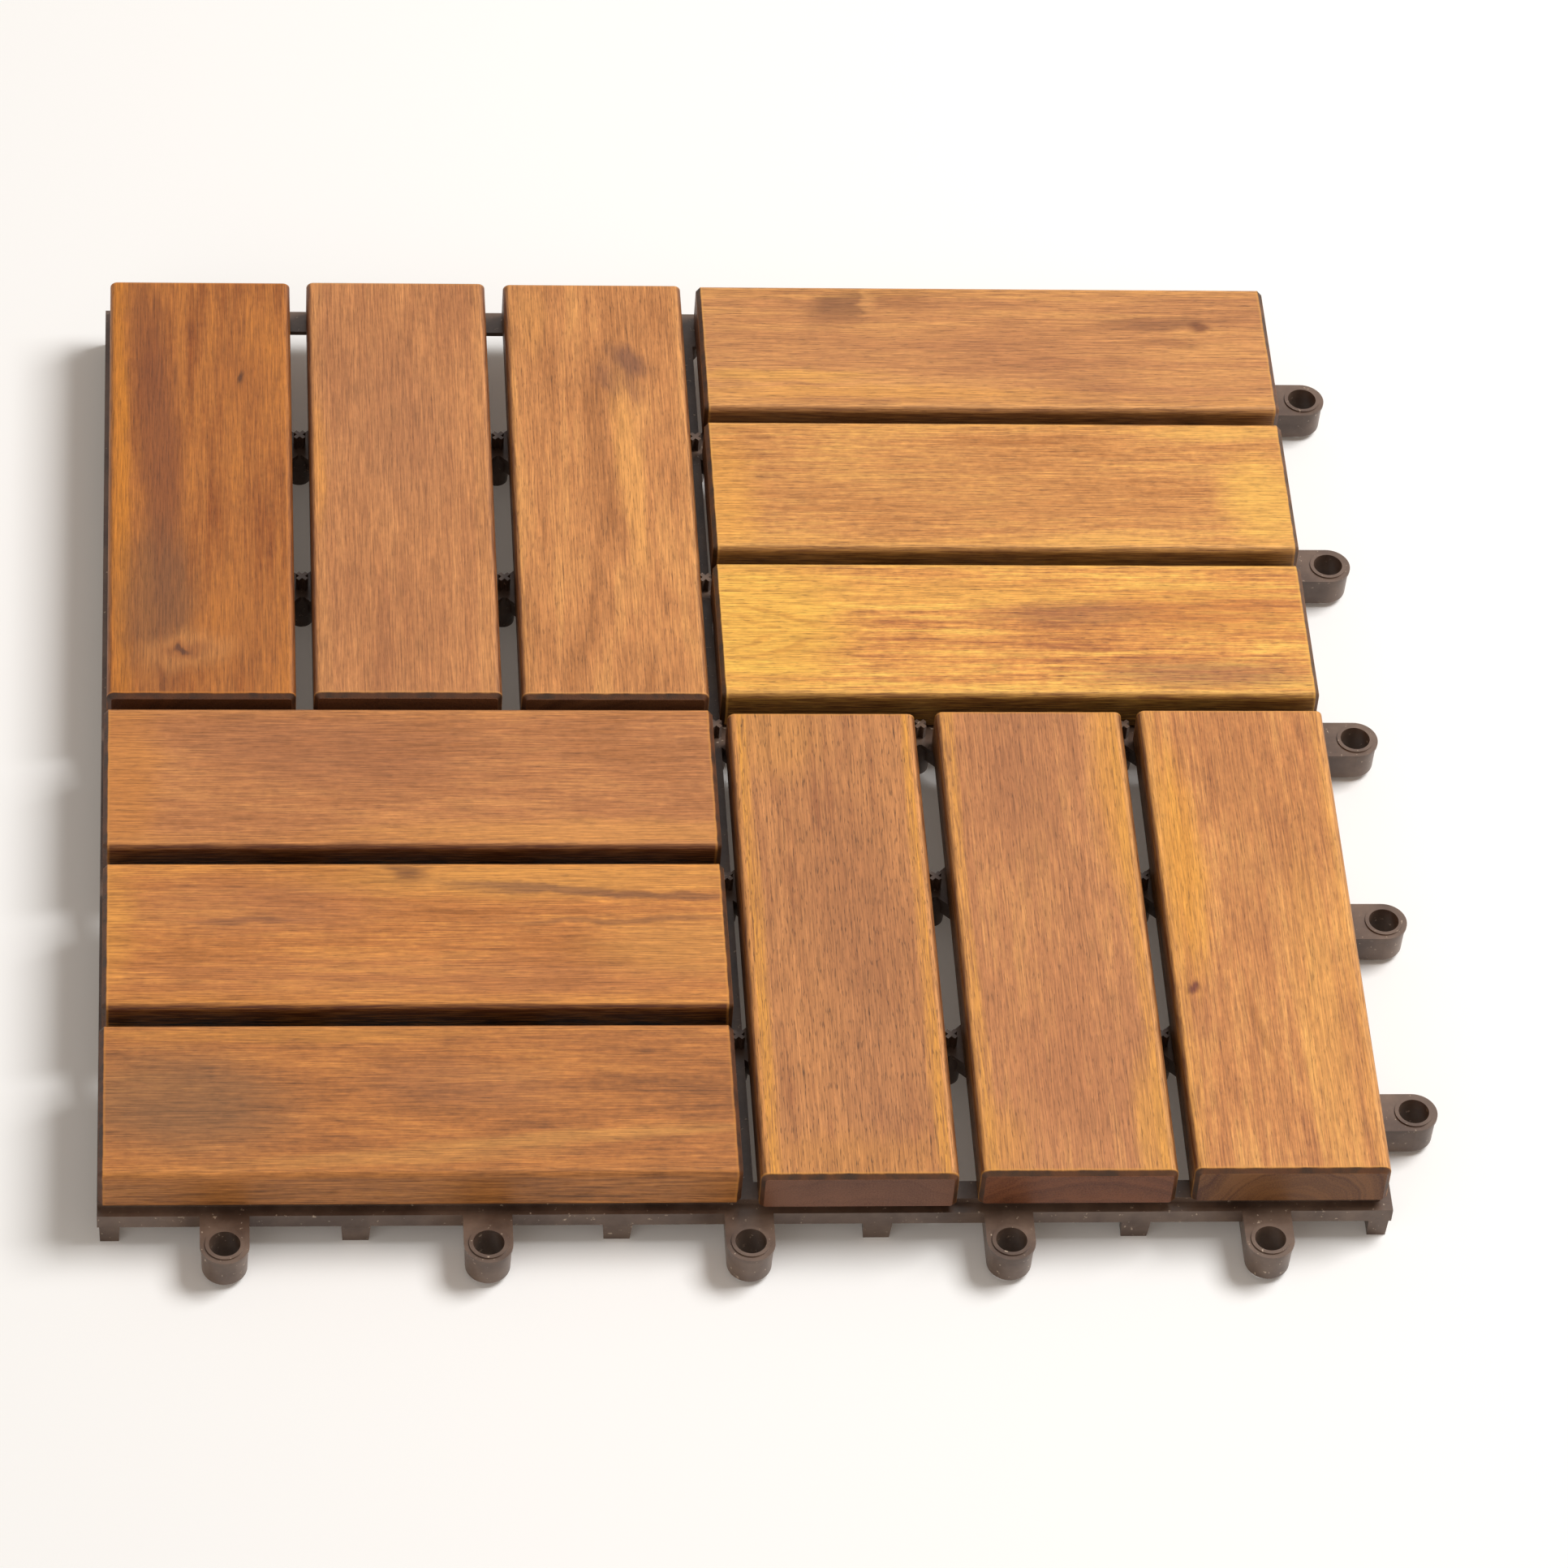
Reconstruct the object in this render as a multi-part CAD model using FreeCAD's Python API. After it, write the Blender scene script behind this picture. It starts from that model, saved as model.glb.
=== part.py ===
import FreeCAD, Part
import math
import os

# Interlocking deck tile. Twelve hardwood slats are laid as a basket weave, in four blocks of three, and
# each is screwed from below to one moulded plastic grid. The grid has loops along its front and right
# edges and pins under its back and left edges, so that like tiles lock together on a flat floor.
# Millimetres. +Z is up, -Y is the front, +X the right, and the origin is on the floor under the middle.

# Slats
slat_width = 45.6
slat_thickness = 11.6
slat_gap = 4.4
slat_end_gap = 3.2
slats_per_block = 3
top_edge_radius = 1.8
bottom_edge_radius = 1.6
end_chamfer = 1.1

# How far a slat lies from its nominal place, along X and along Y. The spacers between the slats are
# narrower than the gap, so no slat lies exactly in the middle of its place.
slat_shift = {
    "slat_back_left_1": (0.1, -0.1),
    "slat_back_left_2": (0.0, 0.2),
    "slat_back_left_3": (0.3, -0.1),
    "slat_back_right_1": (0.5, 0.1),
    "slat_back_right_2": (0.1, 0.2),
    "slat_back_right_3": (-0.4, 0.0),
    "slat_front_left_1": (0.1, 0.2),
    "slat_front_left_2": (0.2, -0.1),
    "slat_front_left_3": (-0.3, -0.7),
    "slat_front_right_1": (-0.1, -1.5),
    "slat_front_right_2": (0.6, -0.8),
    "slat_front_right_3": (0.1, -0.3),
}

# Grid heights
grid_height = 11.3
plate_thickness = 1.2
rib_clearance = 5.2

# Rim of the grid
plate_reveal = 0.6
plate_width = 7.4
rail_step = 0.6
rail_thickness = 3.4
rail_clearance = 5.8
ledge_width = 2.8
ledge_drop = 0.5

# Ribs, hubs and bosses
rib_flange_width = 4.4
rib_web_width = 1.8
middle_rib_width = 2.6
middle_web_width = 1.6
hub_diameter = 7.0
boss_diameter = 11.0

# Feet and legs, wider at the top than at the floor
foot_top_diameter = 6.6
foot_floor_diameter = 5.8
leg_top_width = 6.7
leg_floor_width = 6.0
leg_thickness = 3.8
leg_lean = 0.6
post_top_width = 5.0
post_floor_width = 4.3
post_setback = 0.3

# Spacers that keep the slats apart
spacer_reach = 3.2
spacer_wall = 1.0
spacer_height = 3.8

# Loops and pins that lock one tile to the next
loops_per_side = 5
loop_offset = 8.0
loop_hole_diameter = 7.2
loop_rim_diameter = 11.3
loop_body_diameter = 10.8
loop_base_diameter = 10.4
loop_floor_clearance = 1.0
loop_rim_height = 0.7
loop_collar_width = 0.9
loop_collar_height = 0.35
loop_base_rounding = 0.9
loop_pocket_clearance = 1.2
pin_clearance = 0.4
pin_length = 6.9
pin_chamfer = 0.8
pin_boss_width = 2.2

# Screws
screws_per_slat = 2
screw_shank_diameter = 3.5
screw_head_diameter = 6.8
screw_head_height = 2.3
screw_head_rounding = 1.4
screw_grip = 8.4
screw_point = 1.8
screw_tip_diameter = 0.6
screw_hole_clearance = 0.25
drive_reach = 3.4
drive_width = 0.8
drive_depth = 1.1

# How near an edge has to lie to a line to be picked for rounding
edge_tolerance = 0.01

# Sizes that follow from the ones above
pitch = slat_width + slat_gap
block_pitch = slats_per_block * pitch
slat_length = block_pitch - slat_end_gap
tile_pitch = 2 * block_pitch
field_half = block_pitch - slat_end_gap / 2
plate_half = field_half + plate_reveal
rail_half = plate_half + rail_step
ledge_line = rail_half - ledge_width
plate_underside = grid_height - plate_thickness
ledge_top = plate_underside - ledge_drop
loop_pitch = tile_pitch / loops_per_side
loop_top = ledge_top + loop_collar_height
loop_line = tile_pitch / 2 + loop_offset
pin_line = tile_pitch / 2 - loop_offset
pin_diameter = loop_hole_diameter - 2 * pin_clearance
pocket_line = tile_pitch - loop_line - loop_rim_diameter / 2 - loop_pocket_clearance
half_count = slats_per_block - 1
hub_places = [i * pitch for i in range(-half_count, half_count + 1)]
boss_places = [(i + 0.5) * pitch for i in range(-slats_per_block, slats_per_block)]
loop_places = [(i - (loops_per_side - 1) / 2) * loop_pitch for i in range(loops_per_side)]
leg_places = [(a + b) / 2 for a, b in zip(loop_places, loop_places[1:])]


def point(x, y, z=0.0):
    return FreeCAD.Vector(x, y, z)


def rectangle(x0, y0, x1, y1, z=0.0):
    """A flat face between two corners."""
    corners = [point(x0, y0, z), point(x1, y0, z), point(x1, y1, z), point(x0, y1, z)]
    return Part.Face(Part.makePolygon(corners + corners[:1]))


def disc(x, y, diameter):
    """A flat round face."""
    return Part.Face(Part.Wire(Part.makeCircle(diameter / 2, point(x, y))))


def strip(x, y, length, width, turn):
    """A long flat face about a centre, turned by an angle in degrees."""
    face = rectangle(-length / 2, -width / 2, length / 2, width / 2)
    face.rotate(point(0, 0), point(0, 0, 1), turn)
    face.translate(point(x, y))
    return face


def joined(faces):
    """Flat faces joined to one."""
    return faces[0].fuse(faces[1:]).removeSplitter()


def raised(sketch, bottom, top):
    """A flat sketch extruded between two heights."""
    solids = [face.extrude(point(0, 0, top - bottom)) for face in sketch.Faces]
    body = solids[0] if len(solids) == 1 else Part.Compound(solids)
    body.translate(point(0, 0, bottom))
    return body


def lattice(width):
    """Diagonal ribs, one through each hub and boss both ways."""
    length = 2 * math.sqrt(2) * rail_half
    ribs = []
    for k in range(1 - 2 * slats_per_block, 2 * slats_per_block):
        middle = k * pitch / 2
        ribs.append(strip(middle, middle, length, width, -45))
        ribs.append(strip(middle, -middle, length, width, 45))
    return ribs


def middle_ribs(width):
    """Straight ribs under the two middle gaps."""
    return [
        rectangle(-width / 2, -rail_half, width / 2, rail_half),
        rectangle(-rail_half, -width / 2, rail_half, width / 2),
    ]


def hubs_and_bosses():
    """Round hubs under the gaps and screw bosses under the slats."""
    hubs = [disc(x, y, hub_diameter) for x in hub_places for y in hub_places]
    bosses = [disc(x, y, boss_diameter) for x in boss_places for y in boss_places]
    return hubs + bosses


def top_plate():
    """The thin top layer: rim plate, rib flanges, hubs, bosses and the tongues that carry the pins.

    Along the front and right it stops short of the rail's face, so the rail's top is a narrow ledge there.
    """
    outer = rectangle(-plate_half, -ledge_line, ledge_line, plate_half)
    inner_half = plate_half - plate_width
    rim = outer.cut(rectangle(-inner_half, -inner_half, inner_half, inner_half))
    ribs = joined(lattice(rib_flange_width) + middle_ribs(middle_rib_width) + hubs_and_bosses())
    tongues = []
    for place in loop_places:
        tongues.append(disc(place, pin_line, pin_diameter + 2 * pin_boss_width))
        tongues.append(disc(-pin_line, place, pin_diameter + 2 * pin_boss_width))
    sketch = joined([rim, ribs.common(outer)] + tongues)
    return raised(sketch, plate_underside, grid_height)


def rib_webs():
    """The deep webs under the plate. They stop short of the pin edges, where the next tile's loops go."""
    reach = rectangle(-pocket_line, -ledge_line, ledge_line, pocket_line)
    webs = joined(lattice(rib_web_width) + middle_ribs(middle_web_width) + hubs_and_bosses())
    return raised(webs.common(reach), rib_clearance, plate_underside)


def edge_rail():
    """The rail that stands a little proud of the plate, under its front and right edges."""
    inner = rail_half - rail_thickness
    sketch = joined([
        rectangle(-plate_half, -rail_half, rail_half, -inner),
        rectangle(inner, -rail_half, rail_half, plate_half),
    ])
    return raised(sketch, rail_clearance, plate_underside)


def ledge_step():
    """What is cut from the rail's outer part, so that the ledge lies a little below the plate."""
    sketch = joined([
        rectangle(-rail_half, -rail_half, rail_half, -ledge_line),
        rectangle(ledge_line, -rail_half, rail_half, rail_half),
    ])
    return raised(sketch, ledge_top, plate_underside)


def tapered(top, floor, height):
    """A leg between a rectangle at a height and a smaller one on the floor."""
    wires = [rectangle(*floor, 0.0).OuterWire, rectangle(*top, height).OuterWire]
    return Part.makeLoft(wires, True, True)


def edge_legs():
    """Flat legs under the front and right rails, midway between the loops, each with a rib behind it.

    Their outer faces slope back a little towards the floor.
    """
    inner = rail_half - leg_thickness
    top_half = leg_top_width / 2
    floor_half = leg_floor_width / 2
    legs = []
    for place in leg_places:
        front = rectangle(place - top_half, -rail_half, place + top_half, -inner)
        right = rectangle(inner, place - top_half, rail_half, place + top_half)
        legs += [raised(front, rib_clearance, plate_underside), raised(right, rib_clearance, plate_underside)]
        legs.append(tapered(
            (place - top_half, -rail_half, place + top_half, -inner),
            (place - floor_half, -rail_half + leg_lean, place + floor_half, -inner), rib_clearance))
        legs.append(tapered(
            (inner, place - top_half, rail_half, place + top_half),
            (inner, place - floor_half, rail_half - leg_lean, place + floor_half), rib_clearance))
    return legs


def corner_posts():
    """A tapered post under each corner, a little back from the rail or plate edge on the outer sides."""
    taper = post_top_width - post_floor_width
    posts = []
    for x, side_x in ((rail_half, 1), (plate_half, -1)):
        for y, side_y in ((rail_half, -1), (plate_half, 1)):
            outer_x = side_x * (x - post_setback)
            outer_y = side_y * (y - post_setback)
            xs = sorted([outer_x, outer_x - side_x * post_top_width])
            ys = sorted([outer_y, outer_y - side_y * post_top_width])
            posts.append(tapered(
                (xs[0], ys[0], xs[1], ys[1]),
                (xs[0] + taper / 2, ys[0] + taper / 2, xs[1] - taper / 2, ys[1] - taper / 2), plate_underside))
    return posts


def hub_feet():
    """A round foot under each hub."""
    return [
        Part.makeCone(foot_floor_diameter / 2, foot_top_diameter / 2, rib_clearance, point(x, y))
        for x in hub_places for y in hub_places
    ]


def spacers():
    """A small upright cross on each hub, between the slats."""
    crosses = []
    for x in hub_places:
        for y in hub_places:
            for turn in (45, -45):
                wall = raised(strip(x, y, spacer_reach, spacer_wall, turn), plate_underside,
                              grid_height + spacer_height)
                crosses.append(wall)
    return crosses


def loop_outline(diameter, back, z):
    """Straight sides and a half round end, about a hole at the origin, open end towards +Y."""
    r = diameter / 2
    side_a = Part.LineSegment(point(-r, back, z), point(-r, 0, z)).toShape()
    end = Part.Arc(point(-r, 0, z), point(0, -r, z), point(r, 0, z)).toShape()
    side_b = Part.LineSegment(point(r, 0, z), point(r, back, z)).toShape()
    closing = Part.LineSegment(point(r, back, z), point(-r, back, z)).toShape()
    return Part.Wire([side_a, end, side_b, closing])


def loop():
    """One loop, its hole about the origin and its root towards +Y."""
    root = loop_line - rail_half + rail_thickness
    collar_bottom = loop_top - loop_collar_height
    rim_bottom = collar_bottom - loop_rim_height
    body = Part.makeLoft([
        loop_outline(loop_base_diameter, root, loop_floor_clearance),
        loop_outline(loop_body_diameter, root, rim_bottom),
    ], True, True)
    low = [e for e in body.Edges
           if e.BoundBox.ZMax < loop_floor_clearance + edge_tolerance and e.BoundBox.YMin < edge_tolerance]
    body = body.makeFillet(loop_base_rounding, low)
    rim = Part.Face(loop_outline(loop_rim_diameter, root, rim_bottom)).extrude(point(0, 0, loop_rim_height))
    collar_radius = loop_hole_diameter / 2 + loop_collar_width
    collar = Part.makeCylinder(collar_radius, loop_top - rim_bottom, point(0, 0, rim_bottom))
    hole = Part.makeCylinder(loop_hole_diameter / 2, grid_height)
    return body.fuse([rim, collar]).cut(hole)


def loops():
    """Loops along the front edge, and the same turned to the right edge."""
    copies = []
    for place in loop_places:
        front = loop()
        front.translate(point(place, -loop_line))
        right = loop()
        right.rotate(point(0, 0), point(0, 0, 1), 90)
        right.translate(point(loop_line, place))
        copies += [front, right]
    return copies


def pins():
    """Pins that hang under the back and left edges, for the loops of the next tiles."""
    r = pin_diameter / 2
    tip = plate_underside - pin_length
    copies = []
    for place in loop_places:
        for x, y in ((place, pin_line), (-pin_line, place)):
            lead = Part.makeCone(r - pin_chamfer, r, pin_chamfer, point(x, y, tip))
            shaft = Part.makeCylinder(r, pin_length - pin_chamfer, point(x, y, tip + pin_chamfer))
            copies += [lead, shaft]
    return copies


def screw_holes():
    """Clearance holes through the screw bosses."""
    r = screw_shank_diameter / 2 + screw_hole_clearance
    depth = grid_height - rib_clearance
    return [Part.makeCylinder(r, depth, point(x, y, rib_clearance)) for x in boss_places for y in boss_places]


def base_grid():
    """The one-piece plastic grid."""
    pieces = [rib_webs(), edge_rail()] + edge_legs() + corner_posts() + hub_feet() + spacers() + loops() + pins()
    return top_plate().fuse(pieces).cut([ledge_step()] + screw_holes()).removeSplitter()


def slat_places():
    """Each slat's name, centre and whether it runs along X. Diagonal blocks run the same way."""
    places = {}
    offsets = [(i - (slats_per_block - 1) / 2) * pitch for i in range(slats_per_block)]
    blocks = {
        "back_left": (-block_pitch / 2, block_pitch / 2, False),
        "back_right": (block_pitch / 2, block_pitch / 2, True),
        "front_left": (-block_pitch / 2, -block_pitch / 2, True),
        "front_right": (block_pitch / 2, -block_pitch / 2, False),
    }
    for block, (x, y, along_x) in blocks.items():
        for number, offset in enumerate(offsets, 1):
            centre = (x, y - offset) if along_x else (x + offset, y)
            places["slat_%s_%d" % (block, number)] = (centre, along_x)
    return places


def slat_profile():
    """Section of a slat, with rounder edges on top than below, in the YZ plane at X = 0."""
    half = slat_width / 2
    corners = [
        (-half, 0.0, bottom_edge_radius), (half, 0.0, bottom_edge_radius),
        (half, slat_thickness, top_edge_radius), (-half, slat_thickness, top_edge_radius),
    ]
    ends = []
    arcs = []
    for y, z, r in corners:
        out_y = math.copysign(1, y)
        out_z = 1 if z > 0 else -1
        centre_y = y - out_y * r
        centre_z = z - out_z * r
        side = point(0, y, centre_z)
        flat = point(0, centre_y, z)
        middle = point(0, centre_y + out_y * r * math.sqrt(0.5), centre_z + out_z * r * math.sqrt(0.5))
        first, last = (side, flat) if out_y == out_z else (flat, side)
        arcs.append(Part.Arc(first, middle, last).toShape())
        ends.append((first, last))
    edges = []
    for i, arc in enumerate(arcs):
        following = ends[(i + 1) % len(ends)][0]
        edges += [arc, Part.LineSegment(ends[i][1], following).toShape()]
    return Part.Wire(edges)


def screw_points(centre, along_x):
    """Where a slat is screwed: bosses under its middle line, the outermost ones."""
    x, y = centre
    reach = (slats_per_block - 1) * pitch / 2
    steps = [reach * (2 * i / (screws_per_slat - 1) - 1) for i in range(screws_per_slat)]
    return [(x + step, y) if along_x else (x, y + step) for step in steps]


def slat(centre, along_x, shift):
    """One slat on the grid, with the pilot holes of its screws."""
    body = Part.Face(slat_profile()).extrude(point(slat_length, 0, 0))
    body.translate(point(-slat_length / 2, 0, grid_height))
    top_line = grid_height + slat_thickness - top_edge_radius
    end_line = slat_length / 2 - edge_tolerance
    ends = [e for e in body.Edges
            if min(abs(e.BoundBox.XMin), abs(e.BoundBox.XMax)) > end_line
            and e.BoundBox.XLength < edge_tolerance and e.BoundBox.ZMin > top_line - edge_tolerance]
    body = body.makeChamfer(end_chamfer, ends)
    if not along_x:
        body.rotate(point(0, 0), point(0, 0, 1), 90)
    body.translate(point(centre[0] + shift[0], centre[1] + shift[1]))
    pilots = [Part.makeCylinder(screw_shank_diameter / 2, screw_grip, point(sx, sy, grid_height))
              for sx, sy in screw_points(centre, along_x)]
    return body.cut(pilots)


def screw():
    """Pan head wood screw, pointing up, its head seated under a boss."""
    shank = screw_shank_diameter / 2
    head = screw_head_diameter / 2
    bottom = rib_clearance - screw_head_height
    tip = grid_height + screw_grip
    pan = Part.makeCylinder(head, screw_head_height, point(0, 0, bottom))
    rim = [e for e in pan.Edges if e.BoundBox.ZMax < bottom + edge_tolerance]
    pan = pan.makeFillet(screw_head_rounding, rim)
    rod = Part.makeCylinder(shank, tip - screw_point - bottom - drive_depth, point(0, 0, bottom + drive_depth))
    end = Part.makeCone(shank, screw_tip_diameter / 2, screw_point, point(0, 0, tip - screw_point))
    drive = [raised(strip(0, 0, drive_reach, drive_width, turn), bottom, bottom + drive_depth) for turn in (0, 90)]
    return pan.fuse([rod, end]).removeSplitter().cut(drive)


def slat_screws(places):
    """All the screws, one group of like solids."""
    one = screw()
    copies = []
    for centre, along_x in places.values():
        for x, y in screw_points(centre, along_x):
            copy = one.copy()
            copy.translate(point(x, y))
            copies.append(copy)
    return Part.Compound(copies)


def main():
    os.makedirs("parts", exist_ok=True)
    places = slat_places()
    shapes = {"base_grid": base_grid(), "slat_screws": slat_screws(places)}
    for name, (centre, along_x) in places.items():
        shapes[name] = slat(centre, along_x, slat_shift[name])
    for name, shape in shapes.items():
        shape.exportStep("parts/%s.step" % name)
        print(name, len(shape.Solids), "solids, volume", round(shape.Volume, 1), "valid", shape.isValid())


main()
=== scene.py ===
import math
from functools import partial

import bpy
from mathutils import Matrix, Vector


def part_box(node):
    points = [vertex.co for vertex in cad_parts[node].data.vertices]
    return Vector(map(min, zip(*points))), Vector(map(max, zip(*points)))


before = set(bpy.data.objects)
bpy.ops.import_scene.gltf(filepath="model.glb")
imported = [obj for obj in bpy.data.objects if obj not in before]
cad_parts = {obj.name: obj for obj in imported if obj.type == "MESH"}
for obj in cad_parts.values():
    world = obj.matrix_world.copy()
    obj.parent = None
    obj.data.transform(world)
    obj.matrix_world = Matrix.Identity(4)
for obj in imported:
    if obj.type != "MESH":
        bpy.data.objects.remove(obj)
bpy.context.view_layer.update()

print("frame loaded:", len(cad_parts), "CAD nodes")

mm = 0.001


def toLinear(code):
    # sRGB hex to the linear RGBA that a socket takes
    parts = [int(code[i:i + 2], 16) / 255 for i in (1, 3, 5)]
    return [c / 12.92 if c <= 0.04045 else ((c + 0.055) / 1.055) ** 2.4 for c in parts] + [1.0]


def addNode(tree, kind, *inputs, give=0, **settings):
    # Adds a shader node with its settings. The inputs fill its open sockets in their order, each a value or
    # another node's output, and None leaves one as it is. Gives back one output, by number or by name.
    node = tree.nodes.new("ShaderNode" + kind)
    for name, value in settings.items():
        setattr(node, name, value)
    openSockets = [socket for socket in node.inputs if socket.enabled]
    for socket, value in zip(openSockets, inputs):
        if isinstance(value, bpy.types.NodeSocket):
            tree.links.new(value, socket)
        elif value is not None:
            socket.default_value = value
    if isinstance(give, str):
        return node.outputs[give]
    shown = [socket for socket in node.outputs if socket.enabled]
    return shown[give] if shown else None


def newMaterial(name):
    # an empty material with a surface shader that feeds its output
    material = bpy.data.materials.new(name)
    material.use_nodes = True
    tree = material.node_tree
    tree.nodes.clear()
    surface = addNode(tree, "BsdfPrincipled")
    addNode(tree, "OutputMaterial", surface)
    return material, tree, surface.node


def finishNode(name, material):
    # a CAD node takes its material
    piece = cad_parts[name]
    piece.data.materials.clear()
    piece.data.materials.append(material)


# Acacia slats, oiled: what all twelve share. Sizes are in mm, along the grain and across it, and a blend or a
# range gives where something starts and where it is full.
oiledAcacia = {
    "roughness": 0.48,               # wiped-on oil, satin
    "poreRoughness": 0.12,           # added where the oil has sunk in
    "ior": 1.5,
    "gloss": 0.35,
    "reliefHeight": 0.05,
    "reliefStrength": 0.5,
    "fibreRelief": 0.6,
    "seedStep": (211.0, 97.0, 0.0),  # how far apart the slats are cut from one field of noise

    # the broad tone
    "contrast": 2.2,
    "darkTone": 0.06,
    "lightTone": 0.94,
    "fibreTone": 0.5,
    "wander": (16.0, 9.0, 9.0),
    "wanderSize": (90.0, 16.0),
    "ringSpacing": 3.4,              # growth rings, drawn as soft bands
    "cloudSize": (46.0, 20.0),
    "streakSize": (60.0, 3.0),

    # the fine grain, and how far each pattern swings the colour
    "fibreSize": (20.0, 0.7),
    "hairSize": (9.0, 0.38),
    "rippleSize": (2.4, 1.5),
    "poreSize": (3.2, 0.4),          # real pores are 0.2 mm, drawn wider so that they show
    "poreRange": (0.58, 0.68),
    "threadSize": (16.0, 0.5),
    "threadRange": (0.58, 0.70),
    "hairShare": 1.4,
    "fibreShare": 0.6,
    "poreShare": 0.45,
    "threadShare": 0.3,

    # marks
    "markDepth": 16.0,               # how far a mark reaches down the side
    "markSpread": 1.5,
    "markGrain": (1.4, 0.3),
    "markRange": (0.0, 0.75),
    "raggedSize": (9.0, 4.0),
    "raggedReach": (9.0, 4.0, 0.0),

    # long edges with their painted highlights, measured from the rounding, and the sides with their painted
    # shade
    "rimWidth": 4.0,
    "rimWander": 7.0,
    "rimBlend": (-1.6, 1.8),
    "brokenRange": (0.8, 1.1),
    "brokenLeast": 0.4,
    "crestInset": 1.8,               # where the rounding starts
    "crestHighlightBlend": (-0.5, 0.2),
    "crestHighlightShare": (0.5, 0.3),        # for each part of the slat's edge highlight, and always
    "sideShadeBlend": (0.4, 1.4),
    "sideShadeGrain": (0.35, 0.6, 1.15, 0.8),
    "sideShadeColour": "#5a2c0e",
    "lowShadeColour": "#160903",
    "lowShadeRange": (-1.5, -6.0),

    # ends: a painted highlight on the crest, then the dark chamfer and end face
    "endBand": 1.1,                  # the chamfer, darker partly as oiled end grain and partly as painted shade
    "chipSize": (5.0, 5.0),
    "chipReach": 0.5,
    "endCrestHighlightBlend": (-0.7, -0.2),
    "endCrestHighlightMost": 0.45,
    "bandBlend": (-0.12, 0.22),
    "bandMost": 0.95,
    "bandColour": "#4f2a13",
    "soakedAndShadeColour": "#1f0d05",
    "soakedAndShadeRange": (-0.15, 0.2),
    "endToneRange": (0.55, 1.2),
    "endFaceBlend": (-0.12, -0.04),
}
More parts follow.
